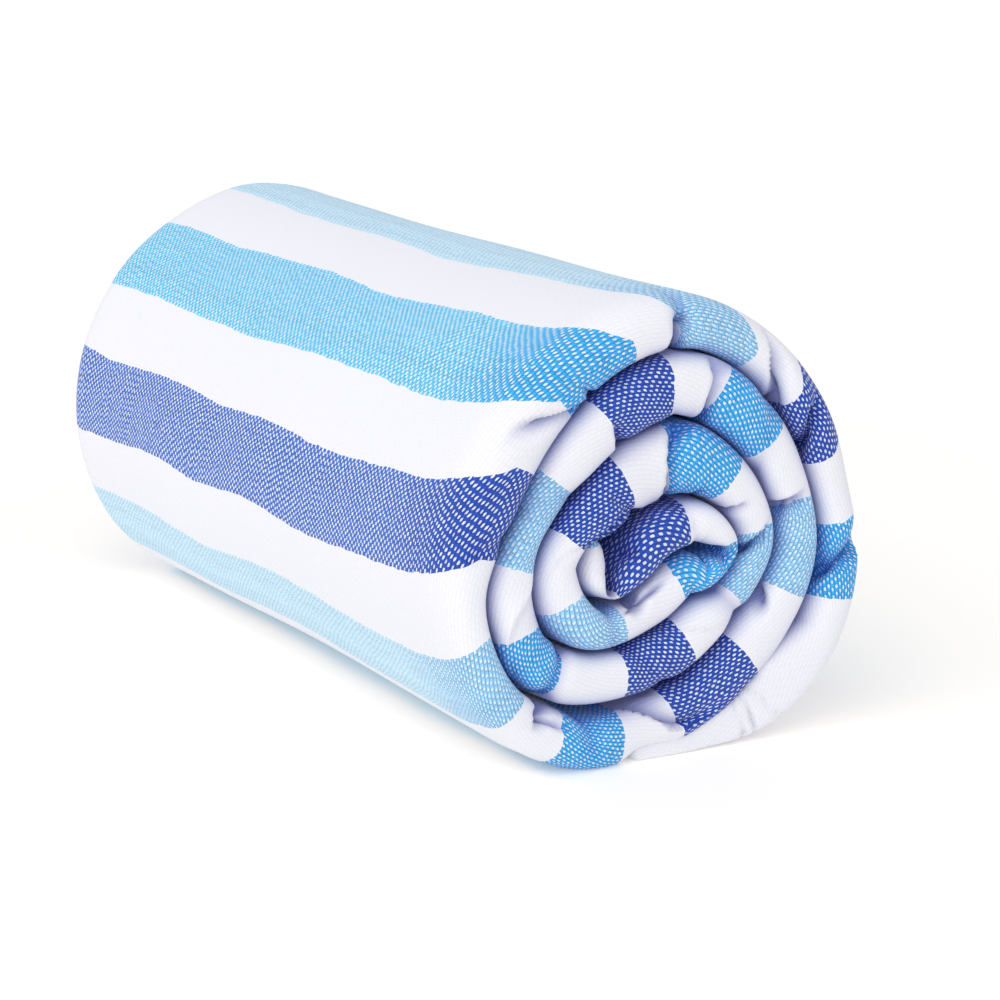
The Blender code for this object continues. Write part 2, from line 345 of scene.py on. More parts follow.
half_length = LENGTH / 2
tip = -(half_length + sections[:, 4])
far = half_length + sections[:, 4] / 2 - FAR_DRAWN_IN
outermost = np.clip((OUTER_TURN_ENDS - band) / SLIPS_UNDER, 0, 1)
columns = []  # each is (offset across the strip, y, painted shade), one value per section


def add_column(offset, y, shade=0.0):
    """Adds one lengthwise line of points to the sheet."""
    columns.append([part + 0 * tip for part in (offset, y, shade)])


def skin(share):
    """How much slimmer the outer turn is, at this share of the roll's length from its middle."""
    slimmer = WAIST + SIDE_UNEVEN * (1 - uneven(share * LENGTH))
    return outermost * math.cos(math.pi * share) * slimmer


for angle in FAR_ANGLES:
    turn = math.radians(angle)
    across_corner = OUTER_SELVEDGE + (1 - OUTER_SELVEDGE) * math.sin(turn)
    add_column(outer * across_corner, far - FAR_ROUND * (1 - math.cos(turn)) ** FAR_FULLNESS)
for share in np.linspace(FAR_SHARE, NEAR_SHARE, LONG_SIDE_COLUMNS):
    add_column(outer - skin(share), share * LENGTH)
print(len(columns), "columns on the first layer")

# %% [markdown]
# ## The folded edge
# The edge is rounded more like a pillow than like a pipe, so its section is a squared-off ellipse.
# The creases and furrows push it in, and shade is painted into them and onto the sides of
# the groove between two turns.

# %% The folded edge
EDGE_COLUMNS = 37
EDGE_ROUND = 24  # mm, how far the outer turn's edge is rounded along the roll
PUFF_ROUND = 13  # mm, the same for an inner turn's edge
FULLNESS, HEM_FULLNESS = 0.88, 0.55  # 1 rounds the folded edge as an ellipse, and less makes it fuller
HEM_BANDS = 0.7  # bands over which the folded edge becomes the hem of the loose end
HEM_SPREAD = 7  # mm by which the hem spreads over the turn inside it
EDGE_UNEVEN = 0.8  # how strongly the unevenness shows on the folded edges
UNEVEN_STEP = 1.2  # mm that one degree round the edge counts for in the unevenness
MOST_PUSHED = 0.8  # the most that the edge is pushed in, as a share of the strip's half thickness
GROOVE_SHADE = 0.8  # how much shade is painted on the sides of a groove between two turns

near_round = PUFF_ROUND + (EDGE_ROUND - PUFF_ROUND) * outermost
at_hem = np.clip(-band / HEM_BANDS, 0, 1)  # 0 on most of the strip, and 1 on its loose end
fullness = FULLNESS + (HEM_FULLNESS - FULLNESS) * at_hem
grooved = 1 - at_hem
tip_column = len(columns) + EDGE_COLUMNS // 2
for angle in np.linspace(90, -90, EDGE_COLUMNS):
    turn = math.radians(angle)
    width = outer if angle > 0 else inner + HEM_SPREAD * at_hem
    depth = near_round if angle > 0 else PUFF_ROUND
    beside_turn = grooved if angle < 0 else grooved * (band > OUTER_TURN_ENDS)
    crease_and_painted_shade = [crease_depth(crease, angle) for crease in CREASES]
    crease_and_painted_shade += [furrow_depth(furrow, angle) for furrow in FURROWS]
    pushed = sum(part[0] for part in crease_and_painted_shade) + EDGE_UNEVEN * (1 + uneven(UNEVEN_STEP * angle))
    room = np.clip(pushed, 0, MOST_PUSHED * width)
    # painted shade on the sides of the groove between two turns
    groove = GROOVE_SHADE * beside_turn * abs(math.sin(turn)) ** 4
    full = math.copysign(1, turn) * abs(math.sin(turn)) ** fullness
    add_column(
        width * full - room * math.sin(turn),
        tip + depth * (1 - math.cos(turn) ** fullness) + pushed * math.cos(turn),
        np.clip(sum(part[1] for part in crease_and_painted_shade) + groove, 0, 1),
    )
print("folded edge from column", tip_column - EDGE_COLUMNS // 2, "to", len(columns) - 1)

# %% [markdown]
# ## The inner layers
# The fourth layer lies on the inside of the strip. At the far end it folds over into the third,
# which runs back between the others to the inner fold, and the second ends in the other selvedge.

# %% The inner layers
HIDDEN_COLUMNS = 8  # columns on the straight part of a layer that is out of sight
INNER_SHARE = -0.40  # where it ends near the folded edge, between the other layers
FOLD_REACH = 0.50  # how far the fold at the far end reaches into the strip's outer half
FOLD_ANGLES = range(-80, 91, 17)  # the columns of that fold, in degrees
FOLD_ROUND = 8  # mm by which that fold is rounded
FOLD_OUT = 1  # mm by which it stands out
FOLD_UNEVEN_FROM = 200  # mm, so that its unevenness isn't that of the folded edge
INNER_FOLD, INNER_FOLD_BACK = 0.2, 4  # share of the outer half, and mm behind the folded edge's rounding
INNER_SELVEDGE = 0.56  # where the second selvedge lies, as a share of the strip's outer half
SELVEDGE_BACK = 1  # mm by which it lies back

for share in np.linspace(NEAR_SHARE, FAR_SHARE, HIDDEN_COLUMNS - 1):
    add_column(-inner, share * LENGTH)
fold_middle, fold_half = (FOLD_REACH * outer - inner) / 2, (FOLD_REACH * outer + inner) / 2
for angle in FOLD_ANGLES:
    turn = math.radians(angle)
    bulge = FOLD_ROUND * (1 - math.cos(turn)) + EDGE_UNEVEN * (1 + uneven(angle + FOLD_UNEVEN_FROM))
    add_column(fold_middle + fold_half * math.sin(turn), far + FOLD_OUT - bulge)
for share in np.linspace(FAR_SHARE, INNER_SHARE, HIDDEN_COLUMNS):
    add_column(FOLD_REACH * outer, share * LENGTH)
add_column(INNER_FOLD * outer, tip + PUFF_ROUND + INNER_FOLD_BACK)
for share in np.linspace(INNER_SHARE, FAR_SHARE, HIDDEN_COLUMNS):
    add_column(INNER_SELVEDGE * outer, share * LENGTH)
add_column(INNER_SELVEDGE * outer, far - SELVEDGE_BACK)
print(len(columns), "columns in all")

# %% [markdown]
# ## The sheet's mesh
# Each column's offset is laid off square to the middle line, and the points are joined by quads.
# No point goes under the floor: the roll's own weight presses its underside flat.

# %% The sheet's mesh
CLEAR_OF_FLOOR = 0.2  # mm

offset, y, shade = (np.array(part).T for part in zip(*columns))
x = sections[:, 1:2] + across[:, :1] * offset
z = 1000 * AXIS_HEIGHT + sections[:, 2:3] + across[:, 1:] * offset
z = np.maximum(z, CLEAR_OF_FLOOR)
place = np.stack([x, y, z], axis=2) / 1000
rows, cols = place.shape[:2]
corner = (np.arange(rows - 1)[:, None] * cols + np.arange(cols - 1)[None, :]).ravel()
quads = np.stack([corner, corner + 1, corner + cols + 1, corner + cols], axis=1)
mesh = bpy.data.meshes.new("cotton_sheet")
mesh.from_pydata(place.reshape(-1, 3).tolist(), [], quads.tolist())
mesh.update()
mesh.shade_smooth()
sheet = bpy.data.objects.new("cotton_sheet", mesh)
bpy.context.scene.collection.objects.link(sheet)
area = sum(face.area for face in mesh.polygons)
print("sheet of", rows, "by", cols, "points, %.2f square metres, %d triangles" % (area, 2 * len(quads)))

# %% [markdown]
# ## Where a point lies on the flat cloth
# The stripes and the weave need to know where each point lies on the flat cloth: u across the cloth
# and v along it. Across, the way is measured on the sheet from the folded edge's tip. Along, the
# stripes are even on the flat cloth, so v follows the strip. Over a crease the cloth is longer
# than the strip, and each stripe shares that out along itself.

# %% Where a point lies on the flat cloth
SMOOTHING = 61  # sections over which u is evened out, so that a crease doesn't shear the weave

gap = np.linalg.norm(np.diff(place, axis=1), axis=2)
around = np.concatenate([np.zeros((rows, 1)), np.cumsum(gap, axis=1)], axis=1)
from_tip = 1000 * (around[:, tip_column:tip_column + 1] - around)  # mm from the folded edge's tip
padded = np.pad(from_tip, ((SMOOTHING // 2, SMOOTHING // 2), (0, 0)), mode="edge")
summed = np.cumsum(np.vstack([np.zeros((1, cols)), padded]), axis=0)
from_tip = (summed[SMOOTHING:] - summed[:-SMOOTHING]) / SMOOTHING

stripe_edges = np.concatenate([[band[0]], np.arange(-0.5, band[-1], 1.0), [band[-1]]])
evened = np.empty_like(from_tip)
for column in range(cols):
    steps = np.linalg.norm(np.diff(place[:, column], axis=0), axis=1)
    length = np.concatenate([[0], np.cumsum(steps)])
    evened[:, column] = np.interp(length, np.interp(stripe_edges, band, length), stripe_edges)
print("the first layer is %.0f mm long" % from_tip[:, 0].mean())

# %% [markdown]
# ## How the cloth was pulled askew
# The cloth was pulled askew as it was rolled. The warp leans one way at the loose end, and the
# other way further in. And on the long side the stripes of the outer turn slide round towards the
# loose end. The slide grows from nothing at the loose end to its most above the roll and dies out
# again underneath, and it sets in over the first few centimetres behind the folded edge.

# %% How the cloth was pulled askew
LOOSE_SKEW, INNER_SKEW = 0.45, -0.3  # how far the warp leans for each metre along the strip, in metres
SKEW_FROM = -1  # the band up to which the lean is the loose end's
SKEW_FADES = 5  # bands over which most of the change from one to the other happens
SLIDE_MOST = 0.75  # bands by which a stripe on top of the roll has slid
SLIDE_ENDS = 12.5  # the band where the slide has died out
SLIDE_PEAK = 1.3  # 1 makes the slide's hump a plain sine, and more makes it narrower
SLIDE_SETS_IN = 28  # mm behind the folded edge over which most of it sets in
BANDS_BEFORE = 2  # v is counted from this many bands before band 0

skew = INNER_SKEW + (LOOSE_SKEW - INNER_SKEW) * np.exp(-np.maximum(band - SKEW_FROM, 0) / SKEW_FADES)
leaning = np.cumsum(skew * np.gradient(band)) * BAND / 1000
u = (LENGTH - from_tip) / 1000 - leaning[:, None]
hump = np.sin(math.pi * np.clip(band / SLIDE_ENDS, 0, 1)) ** SLIDE_PEAK
set_in = 1 - np.exp(-np.maximum(from_tip, 0) / SLIDE_SETS_IN)
v = BAND / 1000 * (evened + BANDS_BEFORE - SLIDE_MOST * hump[:, None] * set_in)
print("lean %.2f to %.2f, slide up to %.0f mm" % (skew[0], skew[-1], SLIDE_MOST * BAND * hump.max()))

# %% [markdown]
# ## What the mesh tells its material
# The flat places go into a UV map. Two more values go onto the points: how stretched the cloth is,
# from 0 on the folded edge to 1 on the long side, which also sets where the long side's blues are
# painted lighter, and how much shade is painted on the cloth in its creases, furrows and grooves.

# %% What the mesh tells its material
STRETCH_FROM, STRETCH_OVER = 14, 60  # mm behind the folded edge's tip, and the mm over which it grows

layer = mesh.uv_layers.new(name="cloth")
flat = np.stack([u, v], axis=2).reshape(-1, 2)
layer.data.foreach_set("uv", flat[quads.ravel()].ravel())
# how stretched the cloth is, which also sets where the blues are painted lighter on the long side
stretched_and_lit = mesh.attributes.new("stretched_and_lit", "FLOAT", "POINT")
stretched_and_lit.data.foreach_set("value", np.clip((from_tip - STRETCH_FROM) / STRETCH_OVER, 0, 1).ravel())
crease_and_painted_shade = mesh.attributes.new("crease_and_painted_shade", "FLOAT", "POINT")
crease_and_painted_shade.data.foreach_set("value", shade.ravel())
print("flat cloth v from %.2f to %.2f metres" % (v.min(), v.max()))

# %% [markdown]
# ## Nodes and colours
# One helper adds a shader node with its settings and its links. Colours are written as the hex
# values that a designer would use and turned into the linear values that the renderer needs.

# %% Nodes and colours


def linear(code):
    """An sRGB hex value as linear red, green, blue and alpha."""
    parts = [int(code[i:i + 2], 16) / 255 for i in (1, 3, 5)]
    return [c / 12.92 if c <= 0.04045 else ((c + 0.055) / 1.055) ** 2.4 for c in parts] + [1.0]


def add(tree, kind, inputs=None, output=0, **settings):
    """Adds a node, sets it up, sets or links its inputs, and gives back one of its outputs."""
    node = tree.nodes.new(kind)
    for name, value in settings.items():
        setattr(node, name, value)
    for socket, value in (inputs or {}).items():
        if isinstance(value, bpy.types.NodeSocket):
            tree.links.new(value, node.inputs[socket])
        else:
            node.inputs[socket].default_value = value
    return node.outputs[output]


print("mid grey is %.3f in linear light" % linear("#808080")[0])

# %% [markdown]
# ## The woven cotton
# The cloth is a plain weave of thick soft yarns: white warp yarns run along the cloth, and the
# weft yarns that cross them are white or one of three blues, which gives the stripes. Where a
# warp yarn passes over the weft it shows as a small white oval, so even the blue stripes are
# speckled with white. The pattern reads the sheet's own flat sizes, so it follows every fold.
# First come two counts, of the warp yarn and the weft yarn that cross at a point. Soft yarns don't
# lie straight, so smooth noises bend the counts. Half of a noise's strength is taken off the weft
# count again, so that the stripes stay where they belong and only waver.

# %% Counting the yarns
PERIOD_YARNS, BLUE_YARNS = 48, 26  # weft yarns in a blue and a white stripe together, and in the blue one
WEFT_PITCH = 2 * BAND / 1000 / PERIOD_YARNS  # metres between two weft yarns, which is 1.73 mm
WARP_PITCH = 0.0020  # metres between warp yarns
DRIFTS, WANDERS, TREMBLES = 12.0, 45.0, 170.0  # bends to a metre: one in 83, in 22 and in 6 mm
WARP_WANDER, WARP_TREMBLE, WARP_DRIFT = 0.9, 0.4, 5.0  # how strongly the yarns bend, in yarns
WEFT_WANDER, WEFT_DRIFT = 1.2, 6.0  # the drift lets a stripe's edge wander by 2 or 3 mm
TEETH = 0.36  # yarns over which the places vary where neighbouring warp yarns dive

MATH = "ShaderNodeMath"
cotton = bpy.data.materials.new("woven_cotton")
cotton.use_nodes = True
tree = cotton.node_tree
surface = tree.nodes["Principled BSDF"]
flat_place = add(tree, "ShaderNodeUVMap", uv_map="cloth")
u_place = add(tree, "ShaderNodeSeparateXYZ", {0: flat_place})
v_place = add(tree, "ShaderNodeSeparateXYZ", {0: flat_place}, output=1)
wander = add(tree, "ShaderNodeTexNoise", {"Vector": flat_place, "Scale": WANDERS, "Detail": 1.0})
warp = add(tree, MATH, {0: u_place, 1: 1 / WARP_PITCH}, operation="MULTIPLY")
warp = add(tree, MATH, {0: wander, 1: WARP_WANDER, 2: warp}, operation="MULTIPLY_ADD")
weft = add(tree, MATH, {0: v_place, 1: 1 / WEFT_PITCH}, operation="MULTIPLY")
weft = add(tree, MATH, {0: wander, 1: WEFT_WANDER, 2: weft}, operation="MULTIPLY_ADD")
weft = add(tree, MATH, {0: weft, 1: -WEFT_WANDER / 2}, operation="ADD")
tremble = add(tree, "ShaderNodeTexNoise", {"Vector": flat_place, "Scale": TREMBLES, "Detail": 1.0})
warp = add(tree, MATH, {0: tremble, 1: WARP_TREMBLE, 2: warp}, operation="MULTIPLY_ADD")
drift = add(tree, "ShaderNodeTexNoise", {"Vector": flat_place, "Scale": DRIFTS, "Detail": 0.0})
warp = add(tree, MATH, {0: drift, 1: WARP_DRIFT, 2: warp}, operation="MULTIPLY_ADD")
weft = add(tree, MATH, {0: drift, 1: WEFT_DRIFT, 2: weft}, operation="MULTIPLY_ADD")
weft = add(tree, MATH, {0: weft, 1: -WEFT_DRIFT / 2}, operation="ADD")
warp_number = add(tree, MATH, {0: warp}, operation="ROUND")
# no two warp yarns dive at quite the same place, which leaves small teeth along a stripe's edge
by_warp = add(tree, "ShaderNodeTexWhiteNoise", {1: warp_number}, noise_dimensions="1D")
weft = add(tree, MATH, {0: by_warp, 1: TEETH, 2: weft}, operation="MULTIPLY_ADD")
weft = add(tree, MATH, {0: weft, 1: -TEETH / 2}, operation="ADD")
weft_number = add(tree, MATH, {0: weft}, operation="ROUND")
print("weft yarns %.2f mm apart and warp yarns %.2f mm" % (1000 * WEFT_PITCH, 1000 * WARP_PITCH))

# %% [markdown]
# ## Over and under
# In a plain weave the warp is on top at every other crossing, like the black squares of a
# chessboard, which are where the sum of the two counts is odd.

# %% Over and under
warp_off = add(tree, MATH, {0: warp, 1: 0.5}, operation="PINGPONG")  # 0 on a yarn, 0.5 between two
both = add(tree, MATH, {0: warp_number, 1: weft_number}, operation="ADD")
warp_up = add(tree, MATH, {0: both, 1: 1.0}, operation="PINGPONG")  # 1 where the warp is on top
print(len(tree.nodes), "nodes so far")

# %% [markdown]
# ## Ovals
# Where the warp is on top it shows as a white oval. Soft yarn is thicker in places, so the ovals
# differ in size, and each lies a little to one side. On the long side of the roll the cloth is
# stretched, which shows more of the warp.

# %% Ovals
JITTER = 0.18  # yarns over which an oval's place varies, along and across
PATCHES = 210.0  # thick and thin places to a metre: one in 5 mm
STRETCH_WIDENS, PATCH_WIDTH, OWN_WIDTH = 0.12, 0.40, 0.10  # what makes up an oval's half width, in yarns
OVAL_LENGTH = 0.64  # its half length, in yarns
SOFT_EDGE = 0.25  # how soft its edge is, where 0 would be sharp

crossing = add(tree, "ShaderNodeCombineXYZ", {0: warp_number, 1: weft_number})
chance = add(tree, "ShaderNodeTexWhiteNoise", {0: crossing}, noise_dimensions="3D")
# a second draw for each crossing, read from the same noise some yarns away
aside = add(tree, "ShaderNodeVectorMath", {0: crossing, 1: (17.0, 5.0, 0.0)}, operation="ADD")
aside = add(tree, "ShaderNodeTexWhiteNoise", {0: aside}, noise_dimensions="3D")
warp_side = add(tree, MATH, {0: warp, 1: warp_number}, operation="SUBTRACT")
warp_side = add(tree, MATH, {0: aside, 1: JITTER, 2: warp_side}, operation="MULTIPLY_ADD")
warp_side = add(tree, MATH, {0: warp_side, 1: -JITTER / 2}, operation="ADD")
weft_side = add(tree, MATH, {0: weft, 1: weft_number}, operation="SUBTRACT")
weft_side = add(tree, MATH, {0: chance, 1: JITTER, 2: weft_side}, operation="MULTIPLY_ADD")
weft_side = add(tree, MATH, {0: weft_side, 1: -JITTER / 2}, operation="ADD")
patches = add(
    tree, "ShaderNodeTexNoise",
    {"Vector": flat_place, "Scale": PATCHES, "Detail": 3.0, "Roughness": 0.7},
)
stretch_and_light = add(tree, "ShaderNodeAttribute", output="Fac", attribute_name="stretched_and_lit")
oval_width = add(tree, MATH, {0: stretch_and_light, 1: STRETCH_WIDENS}, operation="MULTIPLY")
oval_width = add(tree, MATH, {0: patches, 1: PATCH_WIDTH, 2: oval_width}, operation="MULTIPLY_ADD")
oval_width = add(tree, MATH, {0: aside, 1: OWN_WIDTH, 2: oval_width}, operation="MULTIPLY_ADD")
over_width = add(tree, MATH, {0: warp_side, 1: oval_width}, operation="DIVIDE")
over_width = add(tree, MATH, {0: over_width}, operation="ABSOLUTE")
over_width = add(tree, MATH, {0: over_width, 1: 2.0}, operation="POWER")
over_length = add(tree, MATH, {0: weft_side, 1: OVAL_LENGTH}, operation="DIVIDE")
over_length = add(tree, MATH, {0: over_length}, operation="ABSOLUTE")
over_length = add(tree, MATH, {0: over_length, 1: 2.0}, operation="POWER")
from_oval = add(tree, MATH, {0: over_width, 1: over_length}, operation="ADD")
oval = add(
    tree, "ShaderNodeMapRange", {"Value": from_oval, "From Min": 1 + SOFT_EDGE, "From Max": 1 - SOFT_EDGE},
    interpolation_type="SMOOTHSTEP",
)
oval = add(tree, MATH, {0: oval, 1: warp_up}, operation="MULTIPLY")
print("ovals %.1f mm long" % (2000 * OVAL_LENGTH * WEFT_PITCH))

# %% [markdown]
# ## Notches
# A small notch is left at one end of an oval, where the warp dives under: half a yarn up from
# a crossing with the warp on top, or half a yarn down from one with the weft on top, and a shadow
# is painted into it. The cloth is also painted darker beside each warp yarn, in the gap between
# two of them, as shade.

# %% Notches
NOTCH_BEGINS, NOTCH_FULL = 0.26, 0.46  # yarns from the crossing's middle towards the notch
NOTCH_SIDE, NOTCH_CORE = 0.36, 0.16  # yarns from the warp yarn's middle: nothing at one, all at the other
GAP_BEGINS, GAP_FULL = 0.30, 0.50  # the same for the gap between two warp yarns

signed = add(tree, MATH, {0: weft, 1: weft_number}, operation="SUBTRACT")
toward = add(tree, MATH, {0: warp_up, 1: 2.0, 2: -1.0}, operation="MULTIPLY_ADD")
at_end = add(tree, MATH, {0: signed, 1: toward}, operation="MULTIPLY")
notch_end = add(
    tree, "ShaderNodeMapRange", {"Value": at_end, "From Min": NOTCH_BEGINS, "From Max": NOTCH_FULL},
)
# the notch is a real dip in the relief, and a shadow is painted in it too
notch_and_its_shadow = add(
    tree, "ShaderNodeMapRange", {"Value": warp_off, "From Min": NOTCH_SIDE, "From Max": NOTCH_CORE},
)
notch_and_its_shadow = add(tree, MATH, {0: notch_and_its_shadow, 1: notch_end}, operation="MULTIPLY")
beside = add(
    tree, "ShaderNodeMapRange", {"Value": warp_off, "From Min": GAP_BEGINS, "From Max": GAP_FULL},
)
print(len(tree.nodes), "nodes so far")

# %% [markdown]
# ## Stripes
# A blue stripe has 26 weft yarns and a white one 22. The blues follow each other in threes: mid,
# dark and pale. The colour is chosen by the whole number of the weft yarn, so a stripe's edge
# always falls between two yarns. The cloth before the first blue stripe is white.

# %% Stripes
FIRST_YARN = 59  # the first yarn of the blue stripe at band 1, counted from where v is 0
BLUES = ("#3CB0F6", "#2C52BA", "#96D2FC")  # mid, dark and pale
PAINTED_LIT_BLUES = ("#5ACAF6", "#3A6CCC", "#BAE8FF")  # the same on the long side, painted lighter and more cyan as that side is more strongly lit
MIX = {"output": 2, "data_type": "RGBA"}

counted = add(tree, MATH, {0: weft_number, 1: -FIRST_YARN}, operation="ADD")
within = add(tree, MATH, {0: counted, 1: PERIOD_YARNS}, operation="FLOORED_MODULO")
is_blue = add(tree, MATH, {0: within, 1: BLUE_YARNS - 0.5}, operation="LESS_THAN")
past_end = add(tree, MATH, {0: counted, 1: -0.5}, operation="GREATER_THAN")
is_blue = add(tree, MATH, {0: is_blue, 1: past_end}, operation="MULTIPLY")
stripe = add(tree, MATH, {0: counted, 1: within}, operation="SUBTRACT")
stripe = add(tree, MATH, {0: stripe, 1: 1 / PERIOD_YARNS, 2: 0.5}, operation="MULTIPLY_ADD")
# now 0.5 for mid, 1.5 for dark and 2.5 for pale
stripe = add(tree, MATH, {0: stripe, 1: 3.0}, operation="FLOORED_MODULO")
second = add(tree, MATH, {0: stripe, 1: 1.0}, operation="GREATER_THAN")
third = add(tree, MATH, {0: stripe, 1: 2.0}, operation="GREATER_THAN")
dyes_and_lit_copies = []
for mid, dark, pale in (BLUES, PAINTED_LIT_BLUES):
    dye_and_painted_light = add(tree, "ShaderNodeMix", {0: second, 6: linear(mid), 7: linear(dark)}, **MIX)
    dyes_and_lit_copies.append(add(tree, "ShaderNodeMix", {0: third, 6: dye_and_painted_light, 7: linear(pale)}, **MIX))
# painted light: towards the long side the blues are turned lighter and more cyan
dye_and_painted_light = add(tree, "ShaderNodeMix", {0: stretch_and_light, 6: dyes_and_lit_copies[0], 7: dyes_and_lit_copies[1]}, **MIX)
print("a blue and a white stripe together are %.0f mm wide" % (1000 * PERIOD_YARNS * WEFT_PITCH))

# %% [markdown]
# ## The blue cloth and the white cloth
# Each weft yarn has its own strength of dye, which also drifts along the yarn. Shade is painted
# between the yarns and at the notches: a little lavender on the white cloth and navy on the blue.
# Where the cloth is stretched it lies flatter, and less navy shade is painted beside the warp.

# %% The blue cloth and the white cloth
WHITE, PAINTED_LAVENDER_SHADE = "#F1F2F9", "#B9BFE4"  # bleached cotton, and the lavender shade painted on it between the yarns
BLEACHED = "#EEF6FF"  # a white warp yarn between blue ones
PAINTED_NAVY_SHADE = "#14265A"  # the navy shade painted between the blue yarns and at the notches
STREAKS = 70.0  # streaks of dye to a metre of yarn: one in 14 mm
ROWS_APART = 0.37  # metres between the places where two neighbouring yarns read the noise
BY_YARN, BY_STREAK, LEAST_TONE = 0.14, 0.32, 0.80  # what makes up the strength of the dye
NOTCH_NAVY_SHADE, GAP_NAVY_SHADE, STRETCH_CLEARS = 0.85, 0.60, -0.28  # shares of painted navy shade in the blue cloth
NOTCH_LAVENDER_SHADE, GAP_LAVENDER_SHADE = 0.12, 0.17  # shares of painted lavender shade in the white cloth
DYE_ON_WARP = 0.12  # how much the blue beside it tints a white warp yarn
OVAL_VARIES, LEAST_OVAL = 0.28, 0.80  # how clearly an oval shows

by_yarn = add(tree, "ShaderNodeTexWhiteNoise", {1: weft_number}, noise_dimensions="1D")
streak_row = add(tree, MATH, {0: weft_number, 1: ROWS_APART}, operation="MULTIPLY")
streak_place = add(tree, "ShaderNodeCombineXYZ", {0: u_place, 1: streak_row})
streaks = add(tree, "ShaderNodeTexNoise", {"Vector": streak_place, "Scale": STREAKS, "Detail": 2.0})
tone = add(tree, MATH, {0: by_yarn, 1: BY_YARN, 2: LEAST_TONE}, operation="MULTIPLY_ADD")
tone = add(tree, MATH, {0: streaks, 1: BY_STREAK, 2: tone}, operation="MULTIPLY_ADD")
dyed_and_lit = add(tree, "ShaderNodeMix", {0: 1.0, 6: dye_and_painted_light, 7: tone}, blend_type="MULTIPLY", **MIX)
# painted shade: navy at the notches and in the gaps beside the warp on the blue cloth, lavender on the white
# cloth
navy_shade_share = add(tree, MATH, {0: notch_and_its_shadow, 1: NOTCH_NAVY_SHADE}, operation="MULTIPLY")
tight = add(tree, MATH, {0: stretch_and_light, 1: STRETCH_CLEARS, 2: GAP_NAVY_SHADE}, operation="MULTIPLY_ADD")
between = add(tree, MATH, {0: beside, 1: tight}, operation="MULTIPLY")
navy_shade_share = add(tree, MATH, {0: navy_shade_share, 1: between}, operation="MAXIMUM")
lavender_shade_share = add(tree, MATH, {0: notch_and_its_shadow, 1: NOTCH_LAVENDER_SHADE}, operation="MULTIPLY")
lavender_shade_share = add(tree, MATH, {0: beside, 1: GAP_LAVENDER_SHADE, 2: lavender_shade_share}, operation="MULTIPLY_ADD")
blue_cloth = add(tree, "ShaderNodeMix", {0: navy_shade_share, 6: dyed_and_lit, 7: linear(PAINTED_NAVY_SHADE)}, **MIX)
white_cloth = add(tree, "ShaderNodeMix", {0: lavender_shade_share, 6: linear(WHITE), 7: linear(PAINTED_LAVENDER_SHADE)}, **MIX)
tinted = add(tree, "ShaderNodeMix", {0: DYE_ON_WARP, 6: linear(BLEACHED), 7: dyed_and_lit}, **MIX)
oval_shade = add(tree, MATH, {0: chance, 1: OVAL_VARIES, 2: LEAST_OVAL}, operation="MULTIPLY_ADD")
oval = add(tree, MATH, {0: oval, 1: oval_shade}, operation="MULTIPLY")
blue_cloth = add(tree, "ShaderNodeMix", {0: oval, 6: blue_cloth, 7: tinted}, **MIX)
woven = add(tree, "ShaderNodeMix", {0: is_blue, 6: white_cloth, 7: blue_cloth}, **MIX)
print(len(tree.nodes), "nodes so far")

# %% [markdown]
# ## Painted shade in creases, relief and finish
# Shade is painted into the cloth's colour deep in the creases and furrows and on the sides of the
# grooves between turns, darker and bluer, as where light has bounced from blue and white cloth
# many times. The ovals stand up and the gaps between the yarns lie low, but in the white stripes
# all yarns look alike, so the ovals stand out less and mostly ribs show. Cotton is matt, with a
# faint sheen from its loose fibres.

# %% Painted shade in creases, relief and finish
PAINTED_SHADE, PAINTED_SHADE_SHARE = "#8690D2", 0.85  # the colour of the painted shade at the bottom of a crease, and how much of it
BLUE_STANDS_OUT, LEAST_STANDS_OUT = 0.65, 0.35  # how much more the ovals stand out on a blue stripe
GAP_DEPTH = -0.22  # how low the gap between two warp yarns lies
RELIEF, RELIEF_SHOWS = 0.0005, 0.6  # metres that a height of 1 stands for, and how strongly it shows
ROUGHNESS, SHEEN, SPECULAR = 0.9, 0.15, 0.25

# painted shade: creases, furrows and the sides of grooves are darkened and blued in the cloth's colour
crease = add(tree, "ShaderNodeAttribute", output="Fac", attribute_name="crease_and_painted_shade")
crease = add(tree, MATH, {0: crease, 1: PAINTED_SHADE_SHARE}, operation="MULTIPLY")
woven = add(tree, "ShaderNodeMix", {0: crease, 6: woven, 7: linear(PAINTED_SHADE)}, blend_type="MULTIPLY", **MIX)
tree.links.new(woven, surface.inputs["Base Color"])
uneven_top = add(tree, MATH, {0: oval, 1: notch_and_its_shadow}, operation="SUBTRACT")
stands_out = add(tree, MATH, {0: is_blue, 1: BLUE_STANDS_OUT, 2: LEAST_STANDS_OUT}, operation="MULTIPLY_ADD")
uneven_top = add(tree, MATH, {0: uneven_top, 1: stands_out}, operation="MULTIPLY")
height = add(tree, MATH, {0: uneven_top, 1: 0.5, 2: 0.5}, operation="MULTIPLY_ADD")  # low 0, high 1
height = add(tree, MATH, {0: beside, 1: GAP_DEPTH, 2: height}, operation="MULTIPLY_ADD")
bump = add(tree, "ShaderNodeBump", {"Strength": RELIEF_SHOWS, "Distance": RELIEF, "Height": height})
tree.links.new(bump, surface.inputs["Normal"])
surface.inputs["Roughness"].default_value = ROUGHNESS
surface.inputs["Sheen Weight"].default_value = SHEEN
surface.inputs["Specular IOR Level"].default_value = SPECULAR
mesh.materials.append(cotton)
print(cotton.name, "has", len(tree.nodes), "nodes")

# %% [markdown]
# ## What the sheet stands for
# The sheet takes the place of the solid roll, which stays for collision. Its flat size is a square
# of about 1.80 m: four times the roll's length across, and all its bands along.

# %% What the sheet stands for
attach(sheet, "root")
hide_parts("rolled_blanket")
print(sheet.name, "is %.1f bands long" % (band[-1] - band[0]))

